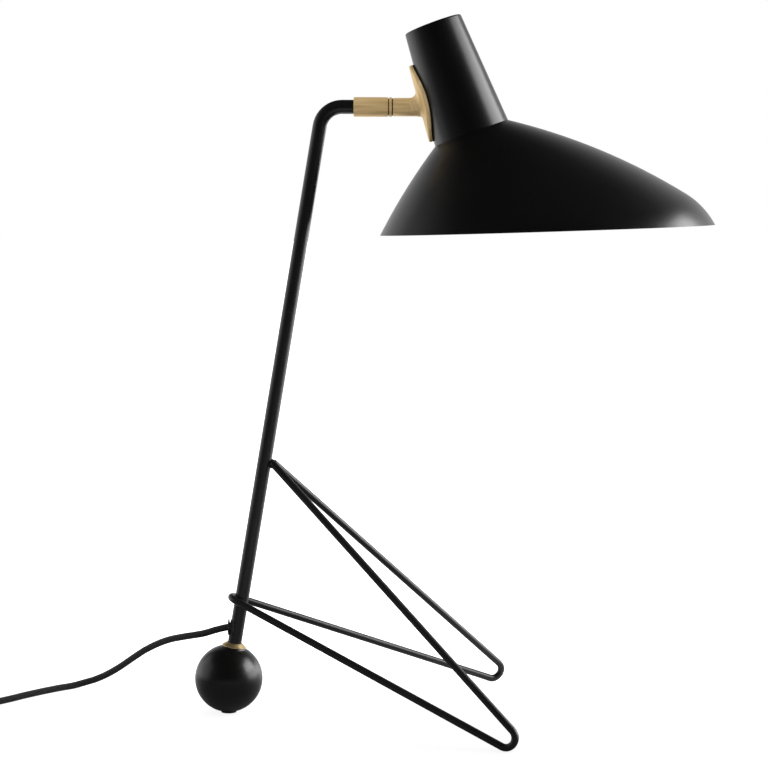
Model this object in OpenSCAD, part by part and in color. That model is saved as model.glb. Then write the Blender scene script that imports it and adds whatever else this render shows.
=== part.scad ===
// Tripod table lamp. A leaning tube stands on a ball and on a bent rod with two feet.
// It carries a swivelling head: a conical neck and a dished shade on one shared axis.
// X runs from the ball towards the feet, Y runs across, Z is up and the table is z = 0.

/* [Stem] */
// Outside diameter of the bent tube
stem_d = 10; // [9:0.5:12]
// Wall of the tube
stem_wall = 1; // [0.8:0.1:1.4]
// Lean of the tube away from upright, in degrees
stem_lean = 9.25; // [6:0.25:13]
// Centreline radius of the bend at the top
stem_bend_r = 16; // [12:0.5:20]
// Height of the swivel axis above the table
joint_h = 434.8; // [380:0.2:480]
// Straight length between the bend and the brass sleeve
stem_end_l = 8.2; // [6:0.2:20]
// How far the lower end sits below the middle of the ball
stem_sink = 4; // [0:0.5:8]

/* [Ball foot] */
// Diameter of the ball
ball_d = 48.8; // [44:0.2:60]
// Diameter of the pad under the ball
pad_d = 11; // [8:0.5:14]
// Thickness of the pad
pad_t = 2; // [1.6:0.1:3]
// How far the pad stands out of the ball
pad_proud = 0.5; // [0.4:0.1:1.5]
// Outside diameter of the brass ferrule on the ball
ferrule_d = 17.4; // [15:0.2:22]
// Height of the ferrule
ferrule_h = 2.6; // [2.4:0.1:5]
// Height of the flat land on the ball, under the edge of the ferrule
land_h = 0.9; // [0.4:0.1:1.6]
// Diameter of the threaded stud between ball and tube
stud_d = 6; // [5:0.5:6.5]
// How far the stud reaches into the ball below the tube
stud_reach = 12; // [8:1:16]
// Length of the threaded insert in the lower end of the tube
insert_l = 14; // [10:1:20]

/* [Leg rod] */
// Diameter of the bent rod
rod_d = 5.2; // [4:0.1:7]
// Distance from the ball to the corner of each foot, along X
foot_reach = 224.8; // [190:0.2:260]
// Distance between the corners of the two feet, along Y
foot_spread = 236; // [170:0.2:290]
// Centreline radius of the bend at each foot
foot_bend_r = 6.8; // [5:0.2:12]
// Height at which the lines of the upper bars cross the middle of the tube
apex_h = 186.9; // [150:0.1:230]
// Height of the middle of the loop round the tube
loop_h = 81.1; // [70:0.1:110]
// Diameter of the weld between the upper bars and the tube
weld_d = 7; // [5:0.5:9]

/* [Swivel] */
// Outside diameter of the rear sleeve and the ring
sleeve_d = 13.8; // [13:0.2:16]
// Length of the rear sleeve
sleeve_l = 24.3; // [18:0.1:34]
// Length of tube inside the rear sleeve
sleeve_grip = 12; // [8:0.5:16]
// Width of the two grooves, each filled by a washer
groove_w = 0.8; // [0.6:0.1:1.6]
// Depth of the grooves
groove_depth = 0.8; // [0.6:0.1:1.4]
// Width of the ring between the grooves
ring_w = 1.8; // [0.8:0.1:3]
// Outside diameter of the front sleeve
front_d = 12.9; // [12.4:0.1:16]
// Distance from the front sleeve's open end to the neck
front_l = 22.2; // [19:0.2:30]
// Diameter of the collar where the front sleeve meets the saddle
collar_d = 15.8; // [15.6:0.2:20]
// Radius of the hollow in front of that collar
collar_fillet = 4.5; // [2:0.5:5]
// Outside diameter of the hollow spindle
spindle_d = 9.9; // [9:0.1:10.3]
// Bore of the spindle
spindle_bore = 6; // [5:0.2:7]
// Diameter of the spindle's head
spindle_head_d = 13; // [12.4:0.2:13.4]
// Thickness of the spindle's head
spindle_head_t = 2; // [1.4:0.2:2.4]
// Thickness of the spring washer under the head
spring_t = 0.6; // [0.4:0.1:0.8]
// Distance from the seat of the spring washer to the neck
seat_to_neck = 4.6; // [4:0.1:6]

/* [Saddle] */
// Thickness of the brass saddle
saddle_t = 2.5; // [1.8:0.1:3.5]
// Length of the leaf-shaped saddle
saddle_l = 55.4; // [46:0.2:64]
// Width of the saddle across the neck
saddle_w = 27; // [22:0.5:34]
// Radius of the saddle's rounded ends
saddle_tip_r = 5; // [3.5:0.5:7]
// How far the middle of the saddle lies above the swivel axis
saddle_rise = 3; // [0:0.5:5]
// Thickness of the black gasket
gasket_t = 0.8; // [0.5:0.1:1.5]
// Distance of each saddle screw from the middle of the saddle
screw_pitch = 17; // [14:0.5:19]
// Diameter of the saddle screws
screw_d = 3; // [2.5:0.5:4]
// Depth of the tapped holes in the saddle
screw_grip = 1.6; // [1.2:0.1:1.7]

/* [Neck and shade] */
// Tilt of the head's axis away from upright, in degrees
head_tilt = 20.2; // [10:0.2:30]
// Height of the swivel above the seam, measured along the head's axis
joint_up = 28.4; // [24:0.2:40]
// Radius of the neck at the seam
neck_r0 = 27.3; // [25:0.1:34]
// Radius of the neck at its closed top
neck_r1 = 20.8; // [18:0.1:26]
// Length of the neck
neck_l = 80.9; // [76:0.1:110]
// Wall of the neck
neck_wall = 1; // [0.8:0.1:1.6]
// Radius of the edge round the closed top
neck_edge_r = 1.2; // [0.8:0.1:3]
// Wall of the shade
shade_wall = 1; // [0.8:0.1:1.4]
// Angle between the shade's side and the axis at the seam, in degrees
flare_angle = 56.6; // [50:0.2:60]
// Angle between the side and the axis where the shoulder starts, in degrees
shoulder_angle = 38.7; // [34:0.1:44]
// Radius of the long curve of the side
side_r = 434; // [380:2:480]
// Radius of the shoulder curve near the rim
shoulder_r = 57; // [50:1:70]
// Distance from the seam to the plane of the rim, along the axis
rim_drop = 73.5; // [66:0.5:80]
// Angle between the plane of the rim and a plane square to the axis, in degrees
rim_angle = 18; // [8:0.5:20]
// Height of the shade's collar inside the neck
collar_h = 8; // [5:0.5:9]

/* [Lampholder and bulb] */
// Thickness of the steel holder bracket
bracket_t = 1.4; // [1:0.1:2]
// Width of the holder bracket
bracket_w = 14; // [10:0.5:16]
// Height of the bracket's shelf above the seam, along the axis
shelf_h = 58; // [54:0.5:66]
// Outside diameter of the lampholder
holder_d = 25; // [22:0.5:26]
// Length of the lampholder
holder_l = 42; // [40:0.5:50]
// Depth of the threaded part of the lampholder's socket
socket_l = 21; // [19:0.5:24]
// Wall of the socket's metal shell
socket_wall = 0.5; // [0.4:0.1:0.8]
// Diameter of the hollow nipple that carries the lampholder
nipple_d = 10; // [8:0.5:10]
// Bore of that nipple
nipple_bore = 7; // [5:0.5:7.4]
// Diameter of the screw cap of the bulb
cap_d = 13.9; // [13.5:0.1:14.2]
// Length of the screw cap
cap_l = 17; // [15:0.5:18]
// Diameter of the round bulb
bulb_d = 45; // [35:1:46]
// Length of the bulb's glass below the cap
glass_l = 53; // [46:1:56]
// Wall of the glass
glass_wall = 0.8; // [0.6:0.1:1.2]

/* [Cord] */
// Diameter of the covered cord
cord_d = 4.8; // [4.4:0.1:5.2]
// Diameter of the two-core flex inside the lamp
flex_d = 3.4; // [2.6:0.1:3.6]
// Height of the cord gland above the table
gland_h = 62.1; // [59:0.1:68]
// Diameter of the gland's flange
gland_d = 11.4; // [9:0.2:13]
// Thickness of the gland's flange
gland_t = 0.7; // [0.5:0.1:1.2]
// Gap between flange and tube at the gland's axis
gland_gap = 0.65; // [0.4:0.05:1]
// Wall of the gland's barrel
gland_wall = 0.8; // [0.6:0.1:1]
// Length of the crimped stop on the flex inside the tube
stop_l = 5; // [4:0.5:10]

/* [Cord coil] */
// Mean radius of the coil
coil_r = 27.5; // [25:0.5:30]
// Turns in each of the four layers
layer_turns = 1.75; // [0.75:1:4.75]
// Step of the spiral per turn
coil_step = 6.2; // [6:0.1:6.6]
// Height from one layer to the next
layer_step = 5.8; // [5.8:0.1:6.4]
// Width of the tie round the coil
tie_w = 6; // [4:0.5:10]
// Thickness of the tie
tie_t = 0.5; // [0.4:0.1:0.8]

/* [Cord switch] */
// Length of the switch along the cord
switch_l = 62; // [56:1:70]
// Width of the switch
switch_w = 24; // [22:0.5:30]
// Height of each half of the switch
switch_half_h = 8; // [7:0.5:10]
// Wall of the switch's halves
switch_wall = 1.6; // [1.2:0.1:2]
// Corner radius of the switch
switch_corner_r = 6; // [4:0.5:8]
// Length of the rocker
rocker_l = 21; // [18:0.5:24]
// Width of the rocker
rocker_w = 11; // [9:0.5:13]
// Tilt of the rocker to each side, in degrees
rocker_tilt = 6; // [4:0.5:7]
// Diameter of the rocker's pin
rocker_pin_d = 2.4; // [2:0.1:2.6]
// Diameter of the switch's two screws
switch_screw_d = 2.5; // [2:0.1:2.8]

/* [Plug] */
// Length of the plug's body with its strain relief
plug_l = 46; // [44:0.5:50]
// Length of the strain relief
relief_l = 22; // [20:0.5:24]
// Width of the plug's body at the pins
plug_w = 26; // [25:0.5:30]
// Thickness of the plug's body
plug_t = 13.7; // [12:0.1:15]
// Diameter of the pins
pin_d = 4; // [3.9:0.1:4.2]
// Length of the pins outside the body
pin_l = 19; // [18:0.5:20]
// Distance between the pins
pin_pitch = 18.6; // [17.5:0.1:19]

/* [Hidden] */
$fn = 64;

// Named clearances, all radial or face to face.
fit = 0.05;         // turned parts that slide or turn in each other
press = 0.02;       // parts driven or glued together
loose = 0.15;       // formed sheet beside sheet
soft_gap = 0.3;     // soft parts beside hard ones
through = 1;        // how far a cutter runs past the face it opens
bend_ease = 0.03;   // how much thinner a tube or rod is round a bend
bend_lap = 0.1;     // how far a straight part closes over the end of a bend
black = [0.07, 0.07, 0.075];
brass = [0.78, 0.64, 0.38];
steel = [0.62, 0.63, 0.65];

function unit(v) = v / norm(v);

// Stem: its straight axis passes through the middle of the ball.
ball_r = ball_d / 2;
ball_z = pad_proud + ball_r;
stem_r = stem_d / 2;
stem_bore_r = stem_r - stem_wall;
stem_turn = 90 - stem_lean;
bend_cut = stem_bend_r * tan(stem_turn / 2);
function stem_x(z) = tan(stem_lean) * (z - ball_z);
corner_x = stem_x(joint_h);
stem_top = (joint_h - ball_z) / cos(stem_lean) - bend_cut;
ferrule_edge = sqrt(pow(ball_r, 2) - pow(ferrule_d / 2, 2));
ferrule_seat = ferrule_edge + land_h;

module on_stem(s) translate([0, 0, ball_z]) rotate([0, stem_lean, 0]) translate([0, 0, s]) children();
module along_x(x) translate([x, 0, joint_h]) rotate([0, 90, 0]) children();

// A rod of radius r from the start of the stem's axis, round the bend, to its free end.
module stem_path(r, start, reach) {
    on_stem(start) cylinder(r = r, h = stem_top - start + bend_lap);
    on_stem(stem_top) translate([stem_bend_r, 0, 0]) rotate([90, 0, 0]) rotate([0, 0, 180 - stem_turn])
        rotate_extrude(angle = stem_turn) translate([stem_bend_r, 0]) circle(r = r - bend_ease);
    along_x(corner_x + bend_cut - bend_lap) cylinder(r = r, h = reach + bend_lap);
}

// Leg rod: the near half, with y below zero, is worked out and then mirrored.
rod_r = rod_d / 2;
stem_dir = [sin(stem_lean), 0, cos(stem_lean)];
apex = [stem_x(apex_h), 0, apex_h];
loop_mid = [stem_x(loop_h), 0, loop_h];
function corner(z) = [foot_reach, -foot_spread / 2, z];
// Direction in the plane of the lower bars, from the loop towards the feet.
function low_dir(z) = unit([foot_reach - loop_mid.x, 0, z - loop_mid.z]);
function loop_r(z) = stem_r / norm(cross(low_dir(z), stem_dir)) + rod_r + fit;
// Point where the near lower bar leaves the loop, as [along low_dir, y].
function leave(z) =
    let(d = norm([foot_reach - loop_mid.x, z - loop_mid.z]), s = foot_spread / 2,
        a = -atan2(s, d) - acos(loop_r(z) / norm([d, s])))
    loop_r(z) * [cos(a), sin(a)];
function leave_pt(z) = loop_mid + leave(z)[0] * low_dir(z) + [0, leave(z)[1], 0];
// Directions from the corner along the upper and lower bar, half their angle, and the bend's middle.
function up_dir(z) = unit(apex - corner(z));
function back_dir(z) = unit(leave_pt(z) - corner(z));
function half_angle(z) = acos(up_dir(z) * back_dir(z)) / 2;
function bend_mid(z) = corner(z) + unit(up_dir(z) + back_dir(z)) * foot_bend_r / sin(half_angle(z));
function bend_axis(z) = unit(cross(up_dir(z), back_dir(z)));
function foot_low(z) = bend_mid(z).z - foot_bend_r * sqrt(1 - pow(bend_axis(z).z, 2)) - rod_r;
// The corner's height settles in a few passes so that the foot's bend just meets the table.
function settled(z, passes) = passes == 0 ? z : settled(z - foot_low(z), passes - 1);
corner_z = settled(0, 12);
foot_corner = corner(corner_z);
bar_up = up_dir(corner_z);
bar_back = back_dir(corner_z);
foot_half = half_angle(corner_z);
bend_trim = foot_bend_r / tan(foot_half);
loop_leave = leave_pt(corner_z);
loop_slope = asin(-low_dir(corner_z).z);
loop_start = acos(leave(corner_z)[0] / loop_r(corner_z));
// The upper bars end where their round tips touch the tube.
tip_back = (stem_r + rod_r + fit) / norm(cross(bar_up, stem_dir));
bar_tip = apex - bar_up * tip_back;

module bar(p, q, r) {
    d = q - p;
    translate(p) rotate([0, acos(d.z / norm(d)), atan2(d.y, d.x)]) cylinder(r = r, h = norm(d));
}

// An arc of rod of centreline radius big, from direction v0, turned by sweep about the unit axis n.
module arc_rod(mid, n, v0, sweep, big, r) {
    az = atan2(n.y, n.x);
    pol = acos(n.z);
    ex = [cos(az) * cos(pol), sin(az) * cos(pol), -sin(pol)];
    ey = [-sin(az), cos(az), 0];
    translate(mid) rotate([0, pol, az]) rotate([0, 0, atan2(v0 * ey, v0 * ex)])
        rotate_extrude(angle = sweep) translate([big, 0]) circle(r = r);
}

module half_leg() {
    upper_end = foot_corner + bar_up * bend_trim;
    lower_end = foot_corner + bar_back * bend_trim;
    mid = bend_mid(corner_z);
    bar(upper_end - bar_up * bend_lap, bar_tip + bar_up * bend_lap, rod_r);
    translate(bar_tip) sphere(r = rod_r - bend_ease);
    bar(lower_end - bar_back * bend_lap, loop_leave + bar_back * bend_lap, rod_r);
    arc_rod(mid, unit(cross(upper_end - mid, lower_end - mid)), unit(upper_end - mid),
        180 - 2 * foot_half, foot_bend_r, rod_r - bend_ease);
}

// Swivel: stations along X, from the rear sleeve to the neck.
sleeve_x = corner_x + bend_cut + stem_end_l;
sleeve_end_x = sleeve_x + sleeve_l;
ring_x = sleeve_end_x + groove_w;
front_x = ring_x + ring_w + groove_w + fit;
neck_x = front_x + front_l;
seat_x = neck_x - seat_to_neck;
spindle_start_x = sleeve_x + sleeve_grip + fit;
head_x = seat_x + spring_t + fit;
spindle_end_x = head_x + spindle_head_t;
collar_r = collar_d / 2;
front_r = front_d / 2;
counterbore_r = spindle_head_d / 2 + loose;
neck_hole_r = spindle_head_d / 2 + 1;

// Head: its own frame has Z up the axis and its origin at the seam.
neck_slope = (neck_r0 - neck_r1) / neck_l;
cone_angle = atan(neck_slope);
function neck_r(h) = neck_r0 - neck_slope * h;
skew = 1 / cos(cone_angle);
neck_in_r = neck_r0 - neck_wall * skew;
function neck_in(h) = neck_in_r - neck_slope * h;
head_x0 = neck_x + neck_r(joint_up) * cos(head_tilt) + joint_up * sin(head_tilt);
head_z0 = joint_h + neck_r(joint_up) * sin(head_tilt) - joint_up * cos(head_tilt);
saddle_h = joint_up + saddle_rise * cos(cone_angle);

module head() translate([head_x0, 0, head_z0]) rotate([0, -head_tilt, 0]) children();
// A place on the outside of the neck, on the swivel's side: X points inwards, Z up the wall.
module at_wall(h) head() translate([-neck_r(h), 0, h]) rotate([0, cone_angle, 0]) children();

// A solid cone that lies off the neck's outside by the given distance.
module neck_solid(off) rotate([0, 0, 90]) rotate_extrude()
    polygon([[0, -neck_l / 4], [neck_r(-neck_l / 4) + off * skew, -neck_l / 4],
        [neck_r(neck_l * 1.2) + off * skew, neck_l * 1.2], [0, neck_l * 1.2]]);

// Leaf outline: two big arcs meet two small round ends, tangent to each other.
tip_y = saddle_l / 2 - saddle_tip_r;
leaf_w = saddle_w / 2;
leaf_r = (pow(tip_y, 2) + pow(leaf_w, 2) - pow(saddle_tip_r, 2)) / (2 * (leaf_w - saddle_tip_r));
leaf_cut = tip_y * leaf_r / (leaf_r - saddle_tip_r);

tip_turn = asin(leaf_cut / leaf_r);
function leaf_quarter(steps) = concat(
    [for (i = [0 : steps - 1]) let(a = 90 - tip_turn * i / steps)
        [leaf_r * cos(a), leaf_w - leaf_r + leaf_r * sin(a)]],
    [for (i = [0 : 5]) let(a = (90 - tip_turn) * (5 - i) / 5)
        [tip_y + saddle_tip_r * cos(a), saddle_tip_r * sin(a)]]);
function turned_back(v, sx, sy) = [for (i = [len(v) - 2 : -1 : 1]) [sx * v[i].x, sy * v[i].y]];
module leaf() {
    q = leaf_quarter(8);
    polygon(concat(q, turned_back(q, 1, -1), [for (p = q) [-p.x, -p.y]], turned_back(q, -1, 1)));
}

// The leaf as a prism through the neck's wall.
module leaf_prism() at_wall(saddle_h) rotate([0, -90, 0])
    translate([0, 0, -neck_r1 / 2]) linear_extrude(height = neck_r1) leaf();

module saddle_drill(r, from, to) for (side = [-1, 1])
    at_wall(saddle_h) translate([from, 0, side * screw_pitch]) rotate([0, 90, 0])
        cylinder(r = r, h = to - from);

screw_head_r = 0.92 * screw_d;
screw_head_t = 0.6 * screw_d;
screw_tip = -(gasket_t + screw_grip);
bracket_in = neck_wall + loose;
bracket_low = collar_h + 1;
// The screws' flat heads clear the bracket's hollow side.
head_seat = bracket_in + bracket_t + pow(screw_head_r, 2) / (2 * (neck_r1 - bracket_in - bracket_t));

// Shade: outline points from the seam round the side and the shoulder, [radius, height].
side_steps = 16;
shoulder_steps = 14;
last_angle = 2;
function side_pt(a, off) = [
    neck_r0 + side_r * (cos(a) - cos(flare_angle)) - off * cos(a),
    -side_r * (sin(flare_angle) - sin(a)) - off * sin(a)];
function shoulder_pt(a, off) = [
    side_pt(shoulder_angle, 0).x + shoulder_r * (cos(a) - cos(shoulder_angle)) - off * cos(a),
    side_pt(shoulder_angle, 0).y - shoulder_r * (sin(shoulder_angle) - sin(a)) - off * sin(a)];
function shade_line(off) = concat(
    [for (i = [0 : side_steps]) side_pt(flare_angle + (shoulder_angle - flare_angle) * i / side_steps, off)],
    [for (i = [1 : shoulder_steps])
        shoulder_pt(shoulder_angle + (last_angle - shoulder_angle) * i / shoulder_steps, off)]);
function reversed(v) = [for (i = [len(v) - 1 : -1 : 0]) v[i]];
collar_top_r = neck_in(collar_h) - loose;
collar_low_r = neck_in(0) - loose;
rim_size = 4 * (side_r + shoulder_r);

// Lampholder stations, measured up the head's axis.
holder_top = shelf_h;
holder_low = holder_top - holder_l;
socket_low = holder_low + 2;
socket_top = socket_low + socket_l;
cap_r = cap_d / 2;
shell_r = cap_r + 2 * fit + socket_wall;
cap_top = socket_top - 2.4;
cap_low = cap_top - cap_l;
bulb_r = bulb_d / 2;
glass_low = cap_low - glass_l + 3;
bulb_mid = glass_low + bulb_r;
nipple_top = shelf_h + bracket_t + 4.4;
nut_h = 3;

// Swept tubes: rings of n points about a route, with steady side direction ref.
function heading(path, i) = unit(path[min(i + 1, len(path) - 1)] - path[max(i - 1, 0)]);
function ring_pts(p, t, r, n, ref) = let(a = unit(cross(t, ref)), b = cross(t, a))
    [for (k = [0 : n - 1]) p + r * (cos(360 * (k + 0.5) / n) * a + sin(360 * (k + 0.5) / n) * b)];
module swept_tube(path, r, n, ref) {
    count = len(path);
    points = [for (i = [0 : count - 1]) each ring_pts(path[i], heading(path, i), r, n, ref)];
    sides = [for (i = [0 : count - 2], k = [0 : n - 1]) let(a = i * n + k, b = i * n + (k + 1) % n)
        each [[a, a + n, b], [b, a + n, b + n]]];
    first = [for (k = [1 : n - 2]) [0, k, k + 1]];
    last = [for (k = [1 : n - 2]) let(o = (count - 1) * n) [o, o + k + 1, o + k]];
    polyhedron(points = points, faces = concat(sides, first, last), convexity = 8);
}
// One smooth curve through the route's points, with m rings to each stretch.
function blend(a, b, c, d, t) = 0.5 * (2 * b + (c - a) * t + (2 * a - 5 * b + 4 * c - d) * t * t
    + (3 * b - a - 3 * c + d) * t * t * t);
function smooth(p, m) = concat(
    [for (i = [0 : len(p) - 2], j = [0 : m - 1])
        blend(i == 0 ? 2 * p[0] - p[1] : p[i - 1], p[i], p[i + 1],
            i == len(p) - 2 ? 2 * p[i + 1] - p[i] : p[i + 2], j / m)],
    [p[len(p) - 1]]);

// Gland: its axis runs along X at gland_h and meets the stem's axis.
cord_r = cord_d / 2;
flex_r = flex_d / 2;
gland_x = stem_x(gland_h) - stem_r / cos(stem_lean) - gland_gap;
barrel_r = cord_r + loose + gland_wall;
flex_turn = stem_turn;
flex_bend_r = 3.2;
flex_cut = flex_bend_r * tan(flex_turn / 2);
flex_x = stem_x(gland_h) - flex_cut;
flex_s = (gland_h - ball_z) / cos(stem_lean) + flex_cut;

// Switch, coil and plug lie in a row beyond the left end of the photographed cord.
lay_x = -194;
switch_y = -62;
cord_z = cord_r;
switch_end_y = switch_y - switch_l;
switch_mid_y = switch_y - switch_l / 2;
cord_in_z = switch_half_h;
rocker_z = switch_half_h + 4;
rocker_window = 0.8;
rocker_side = 0.4;
coil_out_r = coil_r + coil_step * layer_turns / 2;
coil_in_r = coil_r - coil_step * layer_turns / 2;
coil_z = cord_r + tie_t + 0.15;
coil_top_z = coil_z + 3 * layer_step;
coil_x = lay_x - coil_out_r;
link_l = 29;
tail_l = 48;
coil_y = switch_end_y - link_l - cord_d;
tail_x = coil_x - coil_out_r;
plug_z = plug_t / 2;
plug_y = coil_y + cord_d + tail_l;

// Route of the cord from inside the gland to the switch.
lead_route = [
    [flex_x, 0, gland_h], [gland_x, 0, gland_h], [-3, 0, 61.6], [-10, 0.5, 59.7], [-18, 2.5, 56.9],
    [-25, 6, 54.9], [-36, 13.5, 51.6], [-46, 22, 47.8], [-56, 31, 42.5], [-66.5, 41, 35.5], [-76.5, 51, 27.5],
    [-87, 60, 19],
    [-97, 67, 12], [-106.5, 70.5, 7], [-116, 70.5, 4], [-124.5, 66.5, cord_z], [-132.5, 59.5, cord_z],
    [-140, 52, cord_z], [-147.5, 43.5, cord_z], [-155, 34.5, cord_z], [-162, 25, cord_z],
    [-169, 16.5, cord_z], [-176, 8, cord_z], [-182.5, -1, cord_z], [-188, -11, cord_z], [-192, -22, cord_z],
    [lay_x, -34, 3], [lay_x, -44, 4.6], [lay_x, -53, 7],
    [lay_x, switch_y + 4, cord_in_z], [lay_x, switch_y, cord_in_z]
];
// Route from the switch down to the coil, and from the coil's top layer down to the plug.
link_route = [
    [lay_x, switch_end_y, cord_in_z], [lay_x, switch_end_y - 4, cord_in_z],
    [lay_x, switch_end_y - 8, cord_in_z], [lay_x, switch_end_y - 14.5, 5.5], [lay_x, switch_end_y - 21, coil_z],
    [lay_x, switch_end_y - 25, coil_z], [lay_x, switch_end_y - link_l, coil_z]
];
tail_route = [
    [tail_x, plug_y - tail_l, coil_top_z], [tail_x, plug_y - 42, coil_top_z],
    [tail_x, plug_y - 36, coil_top_z], [tail_x, plug_y - 28, 16.5], [tail_x, plug_y - 20, 10.5],
    [tail_x, plug_y - 12, plug_z], [tail_x, plug_y - 6, plug_z], [tail_x, plug_y, plug_z]
];

// Coil: spirals in, out, in and out, and climbs a layer in each half turn between.
ring_count = 24;
turn_total = 4 * layer_turns + 1.5;
// Layer number (0 to 3) and turns run within that layer, counting its climb.
function layer_of(t) = min(3, floor(t / (layer_turns + 0.5)));
function coil_pt(t) =
    let(k = layer_of(t), u = t - k * (layer_turns + 0.5), w = min(u, layer_turns),
        climb = max(0, u - layer_turns) * 2,
        r = k % 2 == 0 ? coil_out_r - coil_step * w : coil_in_r + coil_step * w,
        z = coil_z + layer_step * (k + (1 - cos(180 * climb)) / 2))
    [coil_x + r * cos(360 * t), coil_y - r * sin(360 * t), z];
coil_end_dir = [-sin(360 * turn_total), -cos(360 * turn_total), 0];
coil_path = concat(
    [coil_pt(0) + [0, cord_d, 0]],
    [for (i = [0 : round(turn_total * ring_count)]) coil_pt(i / ring_count)],
    [coil_pt(turn_total) + cord_d * coil_end_dir]);
coil_gap = min([for (i = [0 : len(coil_path) - 1], j = [i + ring_count / 2 : 1 : len(coil_path) - 1])
    norm(coil_path[i] - coil_path[j])]) - cord_d;
echo(coil_gap = coil_gap);

// ---- Ball foot ----
module ball() color(black) difference() {
    union() {
        translate([0, 0, ball_z]) sphere(r = ball_r, $fn = 96);
        on_stem(ferrule_edge - land_h) cylinder(r1 = ferrule_d / 2 + land_h, r2 = ferrule_d / 2 - 0.2, h = 2 * land_h);
    }
    on_stem(-stem_sink) cylinder(r = stem_r + press, h = ball_r + 2 * stem_sink);
    on_stem(-stem_sink - stud_reach) cylinder(r = stud_d / 2 + press, h = stud_reach + through);
    on_stem(ferrule_seat) cylinder(r = ferrule_d, h = ball_r);
    translate([0, 0, -through]) cylinder(r = pad_d / 2 + fit, h = pad_t + through);
}

module foot_pad() color([0.12, 0.12, 0.12]) cylinder(d = pad_d, h = pad_t);

module ball_ferrule() color(brass) on_stem(ferrule_seat) rotate_extrude()
    polygon([[stem_r + fit, 0], [ferrule_d / 2, 0], [ferrule_d / 2, 0.35], [ferrule_d / 2 - 0.3, 0.6],
        [stem_r + 0.9, ferrule_h], [stem_r + fit, ferrule_h]]);

module ball_stud() color(steel) on_stem(-stem_sink - stud_reach + 0.5)
    cylinder(d = stud_d, h = stud_reach + insert_l - 1.5);

module stem_insert() color(steel) on_stem(-stem_sink) difference() {
    cylinder(r = stem_bore_r - press, h = insert_l);
    translate([0, 0, -through]) cylinder(r = stud_d / 2 + press, h = insert_l + 2 * through);
}

// ---- Stem and leg rod ----
module stem() color(black) difference() {
    stem_path(stem_r, -stem_sink, stem_end_l + sleeve_grip);
    stem_path(stem_bore_r, -stem_sink - through, stem_end_l + sleeve_grip + through);
    translate([gland_x, 0, gland_h]) rotate([0, 90, 0]) cylinder(r = barrel_r + fit, h = stem_r + gland_gap);
}

module leg_frame() color(black) difference() {
    union() {
        half_leg();
        mirror([0, 1, 0]) half_leg();
        translate(loop_mid) rotate([0, loop_slope, 0]) rotate([0, 0, loop_start])
            rotate_extrude(angle = 360 - 2 * loop_start) translate([loop_r(corner_z), 0])
                circle(r = rod_r - bend_ease);
        translate([stem_x(bar_tip.z) + stem_r, 0, bar_tip.z]) sphere(d = weld_d);
    }
    on_stem(-stem_sink) cylinder(r = stem_r + press, h = stem_top);
}

// ---- Cord entry ----
module cord_gland() color(black) difference() {
    translate([gland_x, 0, gland_h]) rotate([0, 90, 0]) {
        translate([0, 0, -gland_t]) cylinder(d = gland_d, h = gland_t);
        cylinder(r = barrel_r, h = flex_x - gland_x);
    }
    difference() {
        on_stem(0) cylinder(r = stem_r + press, h = gland_h * 2);
        translate([gland_x, 0, gland_h]) rotate([0, 90, 0]) cylinder(r = barrel_r, h = stem_r + gland_gap);
    }
    translate([gland_x - gland_t - through, 0, gland_h]) rotate([0, 90, 0])
        cylinder(r = cord_r + loose, h = stem_d);
}

module gland_washer() color(black) difference() {
    intersection() {
        on_stem(0) cylinder(r = stem_r + gland_gap - 0.15, h = gland_h * 2);
        translate([gland_x - through, 0, gland_h]) rotate([0, 90, 0]) cylinder(d = gland_d - 0.4, h = stem_r);
    }
    on_stem(0) cylinder(r = stem_r + press, h = gland_h * 2);
    translate([gland_x - 2 * through, 0, gland_h]) rotate([0, 90, 0])
        cylinder(r = barrel_r + fit, h = stem_d);
    translate([gland_x - 2 * gland_t, 0, gland_h]) rotate([0, 90, 0])
        cylinder(d = gland_d + 2 * through, h = 2 * gland_t + fit);
}

module cord_stop() color(steel) on_stem(flex_s + 3) difference() {
    cylinder(r = stem_bore_r - loose, h = stop_l);
    translate([0, 0, -through]) cylinder(r = flex_r + press, h = stop_l + 2 * through);
}

// The flex turns up inside the tube, follows it round the bend and ends in the spindle's mouth.
module stem_flex() color([0.85, 0.85, 0.82]) {
    on_stem(flex_s) translate([-flex_bend_r, 0, 0]) rotate([90, 0, 0]) rotate([0, 0, -flex_turn])
        rotate_extrude(angle = flex_turn) translate([flex_bend_r, 0]) circle(r = flex_r);
    stem_path(flex_r, flex_s, spindle_end_x - corner_x - bend_cut);
}

// ---- Swivel ----
module turned(x, l, r, bore, edge) along_x(x) rotate_extrude()
    polygon([[bore, 0], [r - edge, 0], [r, edge], [r, l - edge], [r - edge, l], [bore, l]]);

module rear_sleeve() color(brass) turned(sleeve_x, sleeve_l, sleeve_d / 2, stem_r + fit, 0.3);

module swivel_ring() color(brass) turned(ring_x, ring_w, sleeve_d / 2, spindle_d / 2 + fit, 0.2);

module swivel_washers() color(brass) for (x = [sleeve_end_x, ring_x + ring_w])
    along_x(x) difference() {
        cylinder(r = sleeve_d / 2 - groove_depth, h = groove_w);
        translate([0, 0, -through]) cylinder(r = spindle_d / 2 + fit, h = groove_w + 2 * through);
    }

module spindle() color(steel) difference() {
    union() {
        along_x(spindle_start_x) cylinder(d = spindle_d, h = head_x - spindle_start_x);
        along_x(head_x) cylinder(d = spindle_head_d, h = spindle_head_t);
    }
    along_x(spindle_start_x - through)
        cylinder(d = spindle_bore, h = spindle_end_x - spindle_start_x + 2 * through);
}

module spring_washer() color(steel) along_x(seat_x) difference() {
    cylinder(d = spindle_head_d - 0.4, h = spring_t);
    translate([0, 0, -through]) cylinder(r = spindle_d / 2 + fit, h = spring_t + 2 * through);
}

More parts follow.
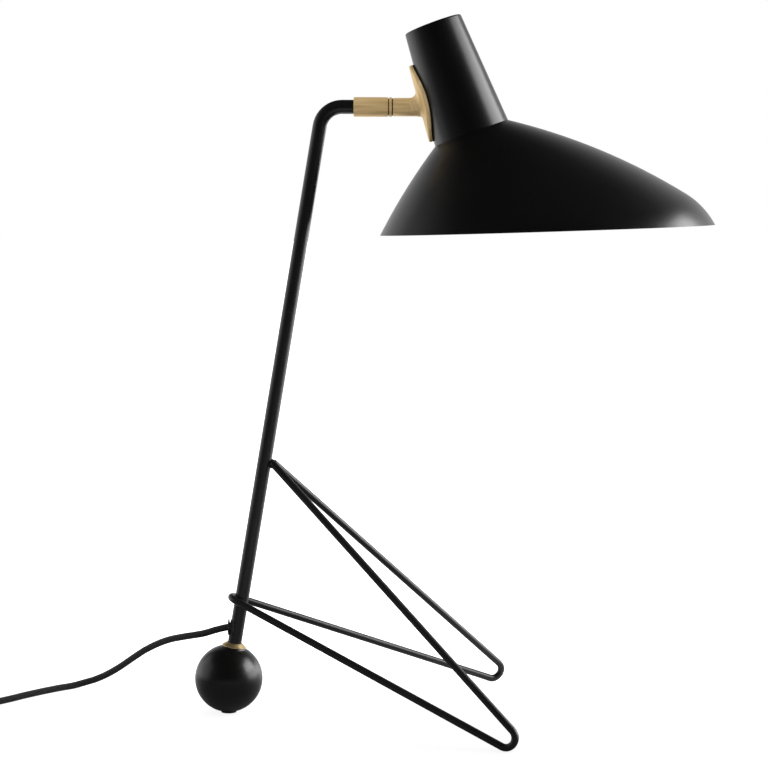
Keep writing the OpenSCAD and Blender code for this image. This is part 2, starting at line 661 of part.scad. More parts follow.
// Front sleeve, collar and leaf are one brass piece, hollowed by the neck's cone.
fillet_end = acos((collar_fillet - (collar_r - front_r)) / collar_fillet);
module front_turning() along_x(front_x) rotate_extrude() {
    collar_z = seat_x - 1 - front_x;
    z0 = collar_z - collar_fillet * sin(fillet_end);
    polygon(concat([[0, 0], [front_r - 0.25, 0], [front_r, 0.25]],
        [for (i = [0 : 6]) let(a = fillet_end * i / 6)
            [front_r + collar_fillet * (1 - cos(a)), z0 + collar_fillet * sin(a)]],
        [[collar_r, front_l + collar_r], [0, front_l + collar_r]]));
}

module saddle() color(brass) difference() {
    union() {
        intersection() {
            head() neck_solid(gasket_t + saddle_t);
            leaf_prism();
        }
        front_turning();
    }
    head() neck_solid(gasket_t);
    along_x(front_x - through) cylinder(r = spindle_d / 2 + fit, h = front_l + 2 * through);
    along_x(seat_x) cylinder(r = counterbore_r, h = front_l);
    saddle_drill(screw_d / 2 + fit, screw_tip - 0.1, saddle_t);
}

module saddle_gasket() color([0.03, 0.03, 0.03]) difference() {
    intersection() {
        head() neck_solid(gasket_t);
        leaf_prism();
    }
    head() neck_solid(0);
    along_x(seat_x) cylinder(r = neck_hole_r, h = front_l);
    saddle_drill(screw_d / 2 + fit, -gasket_t - through, through);
}

module saddle_screws() color(steel) {
    saddle_drill(screw_d / 2, screw_tip, head_seat);
    saddle_drill(screw_head_r, head_seat, head_seat + screw_head_t);
}

// ---- Neck and shade ----
module neck() color(black) difference() {
    head() rotate_extrude($fn = 96) polygon(concat(
        [[neck_in(0), 0], [neck_r0, 0]],
        [for (i = [0 : 5]) let(a = 90 * i / 5)
            [neck_r1 - neck_edge_r * (1 - cos(a)), neck_l - neck_edge_r * (1 - sin(a))]],
        [[0, neck_l], [0, neck_l - neck_wall], [neck_in(neck_l - neck_wall), neck_l - neck_wall]]));
    along_x(seat_x) cylinder(r = neck_hole_r, h = neck_r0);
    saddle_drill(screw_d / 2 + fit, -through, neck_wall + through);
}

module shade() color(black) difference() {
    head() rotate_extrude($fn = 128) polygon(concat(
        [[collar_top_r - shade_wall, collar_h], [collar_top_r, collar_h], [collar_low_r, 0]],
        shade_line(0), reversed(shade_line(shade_wall)),
        [[collar_low_r - shade_wall, side_pt(flare_angle, shade_wall).y]]));
    head() translate([0, 0, -rim_drop]) rotate([0, rim_angle, 0])
        translate([-rim_size / 2, -rim_size / 2, -rim_size]) cube(rim_size);
}

// ---- Lampholder and bulb ----
// The bracket lies against the neck's inside and turns in to a shelf that carries the lampholder.
module holder_bracket() color(steel) difference() {
    head() intersection() {
        rotate_extrude()
            polygon([[0, 0], [neck_in(0) - loose, 0], [neck_in(neck_l) - loose, neck_l], [0, neck_l]]);
        union() {
            difference() {
                translate([-neck_r0, -bracket_w / 2, bracket_low])
                    cube([neck_r0, bracket_w, shelf_h + bracket_t - bracket_low]);
                rotate_extrude() polygon([
                    [0, -through], [neck_in(-through) - loose - bracket_t * skew, -through],
                    [neck_in(shelf_h) - loose - bracket_t * skew, shelf_h], [0, shelf_h]]);
            }
            translate([-neck_r0, -bracket_w / 2, shelf_h])
                cube([neck_r0 + nipple_d, bracket_w, bracket_t]);
        }
    }
    head() translate([0, 0, shelf_h - through]) cylinder(r = nipple_d / 2 + fit, h = bracket_t + 2 * through);
    along_x(seat_x) cylinder(r = spindle_bore / 2 + 0.5, h = neck_r0);
    saddle_drill(screw_d / 2 + fit, 0, neck_r1 / 2);
}

module ring_on_axis(low, high, outer, inner) head() translate([0, 0, low]) difference() {
    cylinder(r = outer, h = high - low);
    translate([0, 0, -through]) cylinder(r = inner, h = high - low + 2 * through);
}

module holder_nipple() color(steel) ring_on_axis(holder_top - 6, nipple_top, nipple_d / 2, nipple_bore / 2);

module nipple_nut() color(steel) head() translate([0, 0, shelf_h + bracket_t]) difference() {
    cylinder(d = nipple_d * 1.6, h = nut_h, $fn = 6);
    translate([0, 0, -through]) cylinder(r = nipple_d / 2 + fit, h = nut_h + 2 * through);
}

module holder_body() color([0.1, 0.1, 0.1]) head() rotate_extrude() polygon([
    [cap_r + 3, holder_low], [holder_d / 2 - 0.8, holder_low], [holder_d / 2, holder_low + 0.8],
    [holder_d / 2, holder_top - 8], [nipple_d / 2 + 4, holder_top - 2], [nipple_d / 2 + 4, holder_top],
    [nipple_d / 2 + fit, holder_top], [nipple_d / 2 + fit, holder_top - 7], [2, holder_top - 7],
    [2, socket_top + 0.6], [shell_r + fit, socket_top + 0.6], [shell_r + fit, socket_low],
    [cap_r + 3, socket_low]]);

module holder_shell() color(brass)
    ring_on_axis(socket_low + 0.5, socket_top - 1, shell_r, shell_r - socket_wall);

module holder_contact() color(brass) head() translate([0, 0, socket_top]) {
    translate([0, 0, -0.2]) cylinder(r = 3, h = 0.7);
    translate([0, 0, 0.4]) cylinder(r = 1.8, h = 3);
}

module bulb_cap() color(steel) head() rotate_extrude() polygon([
    [cap_r - 0.4, cap_low], [cap_r, cap_low], [cap_r, cap_top - 3], [3.2, cap_top], [2.2, cap_top],
    [2.2, cap_top - 0.5], [cap_r - 0.7, cap_top - 3.4], [cap_r - 0.4, cap_top - 3.6]]);

module bulb_contact() color(brass) head() translate([0, 0, cap_top - 0.6]) {
    cylinder(r = 2.15, h = 2);
    translate([0, 0, 2]) cylinder(r1 = 2.15, r2 = 1.2, h = 0.7);
}

// The glass is a ball with a neck that swells into it.
glass_neck_r = cap_r - 0.45;
join_angle = 54;
function glass_line(off) = concat(
    [for (i = [0 : 16]) let(a = -90 + (90 + join_angle) * i / 16)
        [(bulb_r - off) * cos(a), bulb_mid + (bulb_r - off) * sin(a)]],
    [[glass_neck_r - off + 3, cap_low - 6], [glass_neck_r - off + 1, cap_low - 3],
        [glass_neck_r - off, cap_low - 0.2], [glass_neck_r - off, cap_low + 3]]);
module bulb_glass() color([0.95, 0.95, 0.92]) head() rotate_extrude()
    polygon(concat(glass_line(0), reversed(glass_line(glass_wall))));

// The flex leaves the spindle, rises between bracket and lampholder and enters the nipple from above.
module head_flex() color([0.85, 0.85, 0.82]) {
    inside = neck_in(joint_up) - bracket_t;
    route = [
        [spindle_end_x + soft_gap, 0, joint_h], [spindle_end_x + 2, 0, joint_h],
        [spindle_end_x + 4, 0, joint_h], [neck_x + 6, 0, joint_h + 1.5],
        head_to_world([-inside + 6, joint_up + 12]), head_to_world([-inside + 6.6, shelf_h - 16]),
        head_to_world([-inside + 6, shelf_h - 6])
    ];
    swept_tube(smooth(route, 2), flex_r, 8, [0, 1, 0]);
}
function head_to_world(p) = [
    head_x0 + p[0] * cos(head_tilt) - p[1] * sin(head_tilt), 0,
    head_z0 + p[0] * sin(head_tilt) + p[1] * cos(head_tilt)];

// ---- Cord, switch, coil and plug ----
module cord_lead() color(black) swept_tube(smooth(lead_route, 2), cord_r, 8, [0, 0, 1]);

module cord_link() color(black) swept_tube(link_route, cord_r, 8, [0, 0, 1]);

module cord_tail() color(black) swept_tube(tail_route, cord_r, 8, [0, 0, 1]);

module cord_coil() color(black) swept_tube(coil_path, cord_r, 6, [0, 0, 1]);

module rounded(w, l, r) {
    square([w - 2 * r, l], center = true);
    square([w, l - 2 * r], center = true);
    for (x = [-1, 1], y = [-1, 1]) translate([x * (w / 2 - r), y * (l / 2 - r)]) circle(r = r);
}

module cord_tie() color([0.15, 0.15, 0.15]) {
    w = coil_out_r - coil_in_r + cord_d + 2 * soft_gap;
    h = coil_top_z - coil_z + cord_d + soft_gap;
    translate([coil_x, coil_y - coil_r, tie_t + h / 2]) rotate([0, 90, 0]) rotate([0, 0, 90])
        linear_extrude(height = tie_w, center = true) difference() {
            rounded(w + 2 * tie_t, h + 2 * tie_t, 2 + tie_t);
            rounded(w, h, 2);
        }
}

switch_screw_y = switch_l / 2 - 9;
switch_screw_x = switch_w / 2 - 4;
module at_switch(z) translate([lay_x, switch_mid_y, z]) children();
module switch_inside()
    rounded(switch_w - 2 * switch_wall, switch_l - 2 * switch_wall, switch_corner_r - switch_wall);
module switch_bores() for (side = [-1, 1]) at_switch(cord_in_z) translate([0, side * switch_l / 2, 0])
    rotate([90, 0, 0]) cylinder(r = cord_r + loose, h = 4 * switch_wall, center = true);
module switch_posts(r, low, high) for (side = [-1, 1])
    at_switch(low) translate([side * switch_screw_x, side * switch_screw_y, 0])
        cylinder(r = r, h = high - low);

module switch_lower() color(black) difference() {
    union() {
        at_switch(0) difference() {
            linear_extrude(height = switch_half_h) rounded(switch_w, switch_l, switch_corner_r);
            translate([0, 0, switch_wall]) linear_extrude(height = switch_half_h) switch_inside();
        }
        switch_posts(switch_screw_d / 2 + 1.3, 0.5, switch_half_h);
    }
    switch_bores();
    switch_posts(switch_screw_d / 2 + fit, -through, switch_half_h + through);
    switch_posts(switch_screw_d * 0.9 + fit, -through, switch_wall);
}

module switch_upper() color(black) difference() {
    union() {
        at_switch(switch_half_h) difference() {
            linear_extrude(height = switch_half_h) rounded(switch_w, switch_l, switch_corner_r);
            translate([0, 0, -through]) linear_extrude(height = switch_half_h - switch_wall + through)
                switch_inside();
        }
        switch_posts(switch_screw_d / 2 + 1.3, switch_half_h, 2 * switch_half_h - 0.5);
        for (side = [-1, 1]) at_switch(rocker_z) translate([side * (rocker_w / 2 + 1.7), 0, 0.6])
            cube([2.4, 5, 2 * (switch_half_h - 4) - 1.2 - 0.4], center = true);
    }
    at_switch(2 * switch_half_h)
        cube([rocker_w + 2 * rocker_side, rocker_l + 2 * rocker_window, 2 * switch_half_h - 6], center = true);
    at_switch(rocker_z) rotate([0, 90, 0])
        cylinder(r = rocker_pin_d / 2 + fit, h = switch_w - 4, center = true);
    switch_bores();
    switch_posts(switch_screw_d / 2 + fit, 0, 2 * switch_half_h - switch_wall);
}

module switch_rocker() color([0.1, 0.1, 0.1]) at_switch(rocker_z) rotate([-rocker_tilt, 0, 0]) {
    rotate([90, 0, 90]) linear_extrude(height = rocker_w, center = true) polygon([
        [-rocker_l / 2, 0.5], [-4, -2.4], [4, -2.4], [rocker_l / 2, 0.5], [rocker_l / 2, 5.8], [0, 4.6],
        [-rocker_l / 2, 5.8]]);
    rotate([0, 90, 0]) cylinder(d = rocker_pin_d, h = rocker_w + 4, center = true);
}

module switch_screws() color(steel) {
    switch_posts(switch_screw_d / 2, 0.3, 2 * switch_half_h - 2.6);
    switch_posts(switch_screw_d * 0.9, 0.2, switch_wall - 0.05);
}

module switch_terminals() color(brass) for (side = [-1, 1])
    at_switch(switch_wall) translate([side * 4, side * 4, 0]) difference() {
        translate([-2.5, -4, 0]) cube([5, 8, 5]);
        translate([0, 0, 2.6]) rotate([90, 0, 0]) cylinder(r = 1.1, h = 10, center = true);
    }

// Plug: a flat body with two round pins, and a ribbed strain relief that narrows to the cord.
relief_ribs = 5;
rib_l = relief_l / relief_ribs;
relief_gap = 1.3;
relief_cut = 0.7;
relief_lap = 0.5;
pin_root_r = pin_d / 2 - 0.6;
pin_root_l = 10;
pin_straight = pin_l - pin_d / 2;
function relief_r(y) = cord_r + 0.9 + 1.6 * y / relief_l;
module strain_relief() rotate([-90, 0, 0]) rotate_extrude() polygon(concat(
    [[0, 0]],
    [for (i = [0 : relief_ribs - 1]) let(y0 = rib_l * i, y1 = y0 + rib_l)
        each [[relief_r(y0), y0], [relief_r(y1 - relief_gap), y1 - relief_gap],
            [relief_r(y1) - relief_cut, y1 - relief_gap], [relief_r(y1) - relief_cut, y1]]],
    [[relief_r(relief_l), relief_l], [relief_r(relief_l), relief_l + relief_lap],
        [0, relief_l + relief_lap]]));

module plug_outline(w, l) polygon([
    [-cord_r - 2.6, 0], [cord_r + 2.6, 0], [w / 2 - 2, 8], [w / 2, 12], [w / 2, l - 2], [w / 2 - 2, l],
    [2 - w / 2, l], [-w / 2, l - 2], [-w / 2, 12], [2 - w / 2, 8]]);

// A rod at each pin's place, measured from the plug's front face.
module at_pins(r, from, to) for (side = [-1, 1])
    translate([tail_x + side * pin_pitch / 2, plug_y + plug_l + from, plug_z]) rotate([-90, 0, 0])
        cylinder(r = r, h = to - from);

module plug_body() color(black) difference() {
    translate([tail_x, plug_y, 0]) {
        translate([0, relief_l, 0]) linear_extrude(height = plug_t) plug_outline(plug_w, plug_l - relief_l);
        translate([0, 0, plug_z]) strain_relief();
    }
    at_pins(pin_root_r + press, -pin_root_l, through);
}

module plug_pins() color(steel) {
    at_pins(pin_root_r, -pin_root_l, pin_root_r);
    at_pins(pin_d / 2, 0, pin_straight);
    for (side = [-1, 1]) translate([tail_x + side * pin_pitch / 2, plug_y + plug_l + pin_straight, plug_z])
        rotate([-90, 0, 0]) sphere(d = pin_d);
}

ball();
foot_pad();
ball_ferrule();
ball_stud();
stem_insert();
stem();
leg_frame();
cord_gland();
gland_washer();
cord_stop();
stem_flex();
rear_sleeve();
swivel_ring();
swivel_washers();
spindle();
spring_washer();
saddle();
saddle_gasket();
saddle_screws();
neck();
shade();
holder_bracket();
holder_nipple();
nipple_nut();
holder_body();
holder_shell();
holder_contact();
bulb_glass();
bulb_cap();
bulb_contact();
head_flex();
cord_lead();
switch_lower();
switch_upper();
switch_rocker();
switch_screws();
switch_terminals();
cord_link();
cord_coil();
cord_tie();
cord_tail();
plug_body();
plug_pins();
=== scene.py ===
import math

import bmesh
import bpy
from mathutils import Euler, Matrix, Vector


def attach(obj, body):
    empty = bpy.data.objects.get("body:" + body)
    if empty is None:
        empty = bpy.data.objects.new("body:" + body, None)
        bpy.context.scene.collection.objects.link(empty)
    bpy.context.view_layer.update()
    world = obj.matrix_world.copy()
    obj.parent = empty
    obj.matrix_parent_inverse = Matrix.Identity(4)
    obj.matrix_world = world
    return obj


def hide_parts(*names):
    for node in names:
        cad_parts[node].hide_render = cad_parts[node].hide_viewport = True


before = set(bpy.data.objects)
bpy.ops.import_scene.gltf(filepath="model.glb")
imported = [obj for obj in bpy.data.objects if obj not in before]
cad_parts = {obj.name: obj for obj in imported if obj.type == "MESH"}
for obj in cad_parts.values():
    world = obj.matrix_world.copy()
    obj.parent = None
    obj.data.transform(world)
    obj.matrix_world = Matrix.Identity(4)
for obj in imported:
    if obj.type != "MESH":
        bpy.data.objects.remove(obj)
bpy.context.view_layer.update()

MM = 0.001
BASE, HEAD = "base", "head"


# ---------------------------------------------------------------- camera
SENSOR_W, FOCAL_L = 36.0, 95.35                   # mm
CAMERA_PLACE = (0.128444, -1.446031, 0.360511)    # metres
CAMERA_TURN = (85.18754, -0.31401, 0.71794)       # degrees about X, Y and Z
VIEW_DEPTH = 50.0                                 # metres


def make_camera():
    data = bpy.data.cameras.new("camera")
    data.sensor_width = SENSOR_W
    data.lens = FOCAL_L
    data.clip_end = VIEW_DEPTH
    camera = bpy.data.objects.new("camera", data)
    bpy.context.collection.objects.link(camera)
    turn = Euler([math.radians(angle) for angle in CAMERA_TURN]).to_matrix().to_4x4()
    camera.matrix_world = Matrix.Translation(CAMERA_PLACE) @ turn
    bpy.context.scene.camera = camera


make_camera()


# ---------------------------------------------------------------- node trees
class Nodes:
    """A short way to write a node tree."""

    def __init__(self, tree):
        self.tree = tree

    def node(self, kind):
        return self.tree.nodes.new(kind)

    def join(self, a, b):
        self.tree.links.new(a, b)

    def calc(self, kind, *values, clamp=False):
        """A math node whose inputs are numbers or other nodes' outputs."""
        n = self.node("ShaderNodeMath")
        n.operation = kind
        n.use_clamp = clamp
        for socket, value in zip(n.inputs, values):
            if isinstance(value, (int, float)):
                socket.default_value = value
            else:
                self.join(value, socket)
        return n.outputs["Value"]

    def weighted(self, *parts):
        """Adds up pairs of an output and its share."""
        terms = [self.calc("MULTIPLY", source, share) for source, share in parts]
        total = terms.pop()
        while terms:
            total = self.calc("ADD", terms.pop(), total)
        return total

    def split(self, source):
        n = self.node("ShaderNodeSeparateXYZ")
        self.join(source, n.inputs[0])
        return n.outputs


class Finish(Nodes):
    """A new material's node tree. Lengths in it are metres."""

    def __init__(self, name):
        self.mat = bpy.data.materials.new(name)
        self.mat.use_nodes = True
        super().__init__(self.mat.node_tree)
        self.bsdf = self.tree.nodes["Principled BSDF"]
        self.out = self.tree.nodes["Material Output"]

    def where(self, kind="Object"):
        return self.node("ShaderNodeTexCoord").outputs[kind]

    def mapped(self, source, scale, turn=(0, 0, 0)):
        n = self.node("ShaderNodeMapping")
        n.inputs["Scale"].default_value = scale
        n.inputs["Rotation"].default_value = turn
        self.join(source, n.inputs["Vector"])
        return n.outputs["Vector"]

    def noise(self, source, scale, detail=2.0, rough=0.5):
        n = self.node("ShaderNodeTexNoise")
        n.inputs["Scale"].default_value = scale
        n.inputs["Detail"].default_value = detail
        n.inputs["Roughness"].default_value = rough
        self.join(source, n.inputs["Vector"])
        return n.outputs["Fac"]

    def ramp(self, source, stops):
        """Colours along a scale: stops are pairs of a place, from 0 to 1, and a colour."""
        n = self.node("ShaderNodeValToRGB")
        elements = n.color_ramp.elements
        while len(elements) < len(stops):
            elements.new(0.5)
        for element, (place, colour) in zip(elements, stops):
            element.position = place
            element.color = (*colour, 1.0)
        self.join(source, n.inputs["Fac"])
        return n.outputs["Color"]

    def span(self, source, middle, spread):
        """Stretches 0 to 1 over the values from middle - spread to middle + spread."""
        n = self.node("ShaderNodeMapRange")
        n.inputs["To Min"].default_value = middle - spread
        n.inputs["To Max"].default_value = middle + spread
        self.join(source, n.inputs["Value"])
        return n.outputs["Result"]

    def bump(self, height, depth):
        n = self.node("ShaderNodeBump")
        n.inputs["Distance"].default_value = depth
        self.join(height, n.inputs["Height"])
        return n.outputs["Normal"]

    def set(self, **values):
        for key, value in values.items():
            self.bsdf.inputs[key.replace("_", " ")].default_value = value

    def surface(self, colour, roughness, normal, **values):
        """Joins the surface's three main inputs, sets others, and gives the material back."""
        self.join(colour, self.bsdf.inputs["Base Color"])
        self.join(roughness, self.bsdf.inputs["Roughness"])
        self.join(normal, self.bsdf.inputs["Normal"])
        self.set(**values)
        return self.mat


# ---------------------------------------------------------------- finishes
# Scales of noise are per metre, depths of relief in metres, and spreads are of roughness.
LACQUER_CLOUDS, LACQUER_DEPTH, LACQUER_SPREAD = 22.0, 0.000012, 0.05
BRUSH_LINES, BRUSH_DEPTH, BRUSH_SPREAD = 2600.0, 0.000006, 0.07
BROAD_LINES = BRUSH_LINES / 5
LINE_STRETCH, BROAD_STRETCH = 0.02, 0.06     # scale along the brush lines against that across them
BRUSH_PATCHES = 60.0
MOULD_CLOUDS, MOULD_SPREAD = 40.0, 0.08
YARN_DEPTH = 0.00025
FIBRES = (4000.0, 60.0, 1.0)                 # along the cord and once round it
OPAL_FLOW, OPAL_DEPTH = (40, 40, 8), 0.00005     # the flow lines run upwards


def lacquer(name, dark, light, rough, level, grain=1500.0):
    """Baked lacquer: a fine even grain, with faint clouds in its tone and its gloss."""
    m = Finish(name)
    at = m.where()
    cloud = m.noise(at, LACQUER_CLOUDS, detail=3.0)
    fine = m.noise(at, grain, detail=3.0, rough=0.6)
    colour = m.ramp(cloud, [(0.3, dark), (0.75, light)])
    gloss = m.span(m.weighted((cloud, 0.6), (fine, 0.4)), rough, LACQUER_SPREAD)
    return m.surface(colour, gloss, m.bump(fine, LACQUER_DEPTH), Specular_IOR_Level=level)


def brushed(name, dark, light, rough, along=(1, 0, 0), metallic=1.0):
    """Metal with fine brush lines that run along one direction."""
    m = Finish(name)
    at = m.where()
    turn = Vector((1, 0, 0)).rotation_difference(Vector(along).normalized()).inverted().to_euler()
    turned = m.mapped(at, (1, 1, 1), tuple(turn))
    lines = m.noise(m.mapped(turned, (LINE_STRETCH, 1, 1)), BRUSH_LINES, rough=0.65)
    broad = m.noise(m.mapped(turned, (BROAD_STRETCH, 1, 1)), BROAD_LINES)
    patch = m.noise(at, BRUSH_PATCHES)
    mix = m.weighted((lines, 0.35), (broad, 0.5), (patch, 0.15))
    colour = m.ramp(mix, [(0.36, dark), (0.64, light)])
    relief = m.bump(m.weighted((lines, 0.7), (broad, 0.3)), BRUSH_DEPTH)
    return m.surface(colour, m.span(mix, rough, BRUSH_SPREAD), relief, Metallic=metallic)


def moulded(name, dark, light, rough, grain, depth, level):
    """Moulded plastic or rubber with a fine spark-eroded grain."""
    m = Finish(name)
    at = m.where()
    fine = m.noise(at, grain, detail=4.0, rough=0.65)
    colour = m.ramp(m.noise(at, MOULD_CLOUDS), [(0.3, dark), (0.7, light)])
    return m.surface(colour, m.span(fine, rough, MOULD_SPREAD), m.bump(fine, depth), Specular_IOR_Level=level)


def braid(name, yarns_along, yarns_around, dark, light, shine):
    """A woven cover: two sets of yarns that wind opposite ways and pass over and under each other.
    U runs along the cord in metres and V once round it."""
    m = Finish(name)
    uv = m.where("UV")
    place = m.split(uv)
    along = m.calc("MULTIPLY", place["X"], yarns_along)
    around = m.calc("MULTIPLY", place["Y"], yarns_around)
    waves = [m.calc("SINE", m.calc("MULTIPLY", m.calc(way, along, around), math.pi))
             for way in ("ADD", "SUBTRACT")]
    yarns = [m.calc("ABSOLUTE", wave) for wave in waves]
    over = m.calc("GREATER_THAN", m.calc("MULTIPLY", *waves), 0.0)
    under = m.calc("SUBTRACT", 1.0, over)
    height = m.weighted((yarns[0], over), (yarns[1], under))
    fibre = m.noise(m.mapped(uv, FIBRES), 1.0)
    relief = m.weighted((height, 0.7), (fibre, 0.3))
    # The colour is partly painted shade, darker where the weave lies low between yarns, and partly the
    # fibres' own tone.
    colour = m.ramp(relief, [(0.15, dark), (0.85, light)])
    return m.surface(colour, m.span(fibre, 0.85, 0.10), m.bump(relief, YARN_DEPTH),
                     Specular_IOR_Level=0.15, Sheen_Weight=shine, Sheen_Roughness=0.45)


def opal():
    """Opal glass that scatters light under a thin clear coat, with faint flow lines."""
    m = Finish("opal_glass")
    flow = m.noise(m.mapped(m.where(), OPAL_FLOW), 3.0, detail=3.0)
    colour = m.ramp(flow, [(0.3, (0.86, 0.85, 0.80)), (0.7, (0.93, 0.92, 0.88))])
    return m.surface(colour, m.span(flow, 0.18, 0.04), m.bump(flow, OPAL_DEPTH),
                     Subsurface_Weight=0.5, Subsurface_Radius=(0.01, 0.009, 0.007), Subsurface_Scale=0.3,
                     Coat_Weight=0.5, Coat_Roughness=0.06)


# Lacquers: dark and light tone, roughness, gloss level and grain.
BLACK_FRAME = lacquer("frame_lacquer", (0.0022, 0.0020, 0.0020), (0.0050, 0.0044, 0.0044), 0.36, 0.5)
BLACK_SHADE = lacquer("shade_lacquer", (0.0004, 0.0004, 0.0004), (0.0010, 0.0010, 0.0010), 0.30, 0.45,
                      2200.0)
BLACK_BALL = lacquer("ball_lacquer", (0.0010, 0.0008, 0.0007), (0.0022, 0.0017, 0.0015), 0.30, 0.5)

# Metals: dark and light tone, roughness and the direction of the brush lines.
BRASS = brushed("brass", (0.63, 0.42, 0.18), (0.95, 0.71, 0.36), 0.46, metallic=0.5)
# The swivel washers' near-black brass is painted shade for the grooves at either side of the ring.
BRASS_PAINTED_SHADE = brushed("brass_painted_shade", (0.05, 0.03, 0.015), (0.11, 0.07, 0.03), 0.55, metallic=0.5)
BRASS_PLATE = brushed("brass_plate", (0.62, 0.43, 0.20), (0.91, 0.69, 0.36), 0.50, (0.26, 0, -0.966), 0.5)
BRASS_FOOT = brushed("brass_turned", (0.66, 0.45, 0.20), (0.92, 0.70, 0.38), 0.30, (0, 1, 0), 0.95)
STEEL = brushed("zinc_steel", (0.36, 0.37, 0.38), (0.62, 0.63, 0.64), 0.38, (0, 0, 1))
NICKEL = brushed("nickel", (0.55, 0.54, 0.51), (0.78, 0.77, 0.74), 0.22, (0, 1, 0))

# Rubber and plastic: dark and light tone, roughness, grain, depth of the grain and gloss level.
RUBBER = moulded("black_rubber", (0.010, 0.010, 0.010), (0.020, 0.019, 0.018), 0.75, 700.0, 0.00003, 0.25)
GASKET = moulded("gasket_rubber", (0.005, 0.004, 0.004), (0.010, 0.008, 0.007), 0.7, 900.0, 0.00002, 0.2)
PLASTIC = moulded("black_plastic", (0.012, 0.012, 0.013), (0.022, 0.022, 0.023), 0.46, 1400.0, 0.000018, 0.4)
HOLDER = moulded("holder_plastic", (0.02, 0.02, 0.02), (0.035, 0.034, 0.034), 0.38, 1100.0, 0.00001, 0.45)
ROCKER = moulded("rocker_plastic", (0.008, 0.008, 0.009), (0.015, 0.015, 0.016), 0.24, 900.0, 0.000006, 0.5)
SHEATH = moulded("flex_sheath", (0.62, 0.61, 0.57), (0.72, 0.71, 0.67), 0.45, 500.0, 0.00002, 0.4)

# Woven covers: yarns of one set met in a metre along and once round, dark and light tone, sheen.
# The tie keeps its node, which has no UVs, so its weave is one even tone.
CORD = braid("cord_braid", 330.0, 10, (0.0022, 0.0022, 0.0024), (0.016, 0.0155, 0.016), 0.10)
TIE = braid("tie_weave", 900.0, 12, (0.006, 0.006, 0.006), (0.03, 0.03, 0.03), 0.2)
OPAL = opal()


# ---------------------------------------------------------------- mesh helpers
SAME_POINT = 1e-7     # metres within which two points are one


def new_piece(name, verts, faces, material, smooth=True, uvs=None):
    mesh = bpy.data.meshes.new(name)
    mesh.from_pydata([tuple(v) for v in verts], [], faces)
    mesh.validate()
    mesh.materials.append(material)
    if uvs is not None:
        layer = mesh.uv_layers.new(name="along")
        for poly in mesh.polygons:
            for loop, uv in zip(poly.loop_indices, uvs[poly.index]):
                layer.data[loop].uv = uv
    if smooth:
        mesh.polygons.foreach_set("use_smooth", [True] * len(mesh.polygons))
    mesh.update()
    obj = bpy.data.objects.new(name, mesh)
    bpy.context.collection.objects.link(obj)
    return obj


def mend(obj, smooth_angle):
    """Joins doubled points, drops faces of no size, faces outwards and keeps sharp edges sharp."""
    bm = bmesh.new()
    bm.from_mesh(obj.data)
    bmesh.ops.remove_doubles(bm, verts=bm.verts, dist=SAME_POINT)
    bmesh.ops.dissolve_degenerate(bm, edges=bm.edges, dist=SAME_POINT)
    bmesh.ops.recalc_face_normals(bm, faces=bm.faces)
    limit = math.radians(smooth_angle)
    for edge in bm.edges:
        edge.smooth = len(edge.link_faces) != 2 or edge.calc_face_angle(0.0) < limit
    for face in bm.faces:
        face.smooth = True
    bm.to_mesh(obj.data)
    bm.free()


def bridged(rings, count, closed=False):
    """The faces between rings of count points each. A closed skin joins the last ring to the first."""
    faces = []
    for i in range(rings if closed else rings - 1):
        j = (i + 1) % rings
        for k in range(count):
            n = (k + 1) % count
            faces.append((i * count + k, i * count + n, j * count + n, j * count + k))
    return faces


def blend(a, b, c, d, t):
    """A point between b and c on the smooth curve through a, b, c and d."""
    bend = (2 * a - 5 * b + 4 * c - d) * t * t + (3 * b - a - 3 * c + d) * t ** 3
    return 0.5 * (2 * b + (c - a) * t + bend)


def smooth_path(points, steps):
    """A smooth curve through every point, with the given number of steps from each to the next."""
    p = [Vector(q) for q in points]
    p = [2 * p[0] - p[1], *p, 2 * p[-1] - p[-2]]
    out = [blend(*p[i:i + 4], j / steps) for i in range(len(p) - 3) for j in range(steps)]
    return out + [p[-2]]


def tube(name, path, radius, material, sides=20):
    """A closed tube along a path in metres, with U along it in metres and V round it."""
    lengths = [0.0]
    for a, b in zip(path, path[1:]):
        lengths.append(lengths[-1] + (b - a).length)
    last = len(path) - 1
    side = (path[1] - path[0]).cross(Vector((0, 0, 1)))
    verts = []
    for i, p in enumerate(path):
        heading = (path[min(i + 1, last)] - path[max(i - 1, 0)]).normalized()
        side = (side - heading * side.dot(heading)).normalized()
        other = heading.cross(side)
        for k in range(sides):
            a = 2 * math.pi * k / sides
            verts.append(p + radius * (math.cos(a) * side + math.sin(a) * other))
    faces = bridged(len(path), sides)
    uvs = []
    for start, end in zip(lengths, lengths[1:]):
        for k in range(sides):
            low, high = k / sides, (k + 1) / sides
            uvs.append([(start, low), (start, high), (end, high), (end, low)])
    for ring, order in ((0, range(sides - 1, -1, -1)), (last, range(sides))):
        faces.append(tuple(ring * sides + k for k in order))
        uvs.append([(lengths[ring], k / sides) for k in order])
    return new_piece(name, verts, faces, material, uvs=uvs)


# ---------------------------------------------------------------- cord, in mm
CORD_D = 4.8
CORD_R = CORD_D / 2
COVER_R = CORD_R + 0.1                 # the woven cover stands a little proud
FLEX_X, GLAND_X, GLAND_Z = 3.337, 0.343, 62.1
LAY_X = -194.0                         # where the switch and the link to the coil lie
SWITCH_Y, SWITCH_L, SWITCH_Z = -62.0, 62.0, 8.0
SWITCH_END_Y = SWITCH_Y - SWITCH_L
LINK_L, TAIL_L = 29.0, 48.0
COIL_R, COIL_STEP = 27.5, 6.2          # mean radius, and how much it changes in one turn
COIL_LAYERS, LAYER_TURNS, LAYER_STEP = 4, 1.75, 5.8
CLIMB_TURNS = 0.5                      # turns from one layer to the next
COIL_OUT = COIL_R + COIL_STEP * LAYER_TURNS / 2
COIL_IN = COIL_R - COIL_STEP * LAYER_TURNS / 2
TIE_T, TIE_GAP = 0.5, 0.15
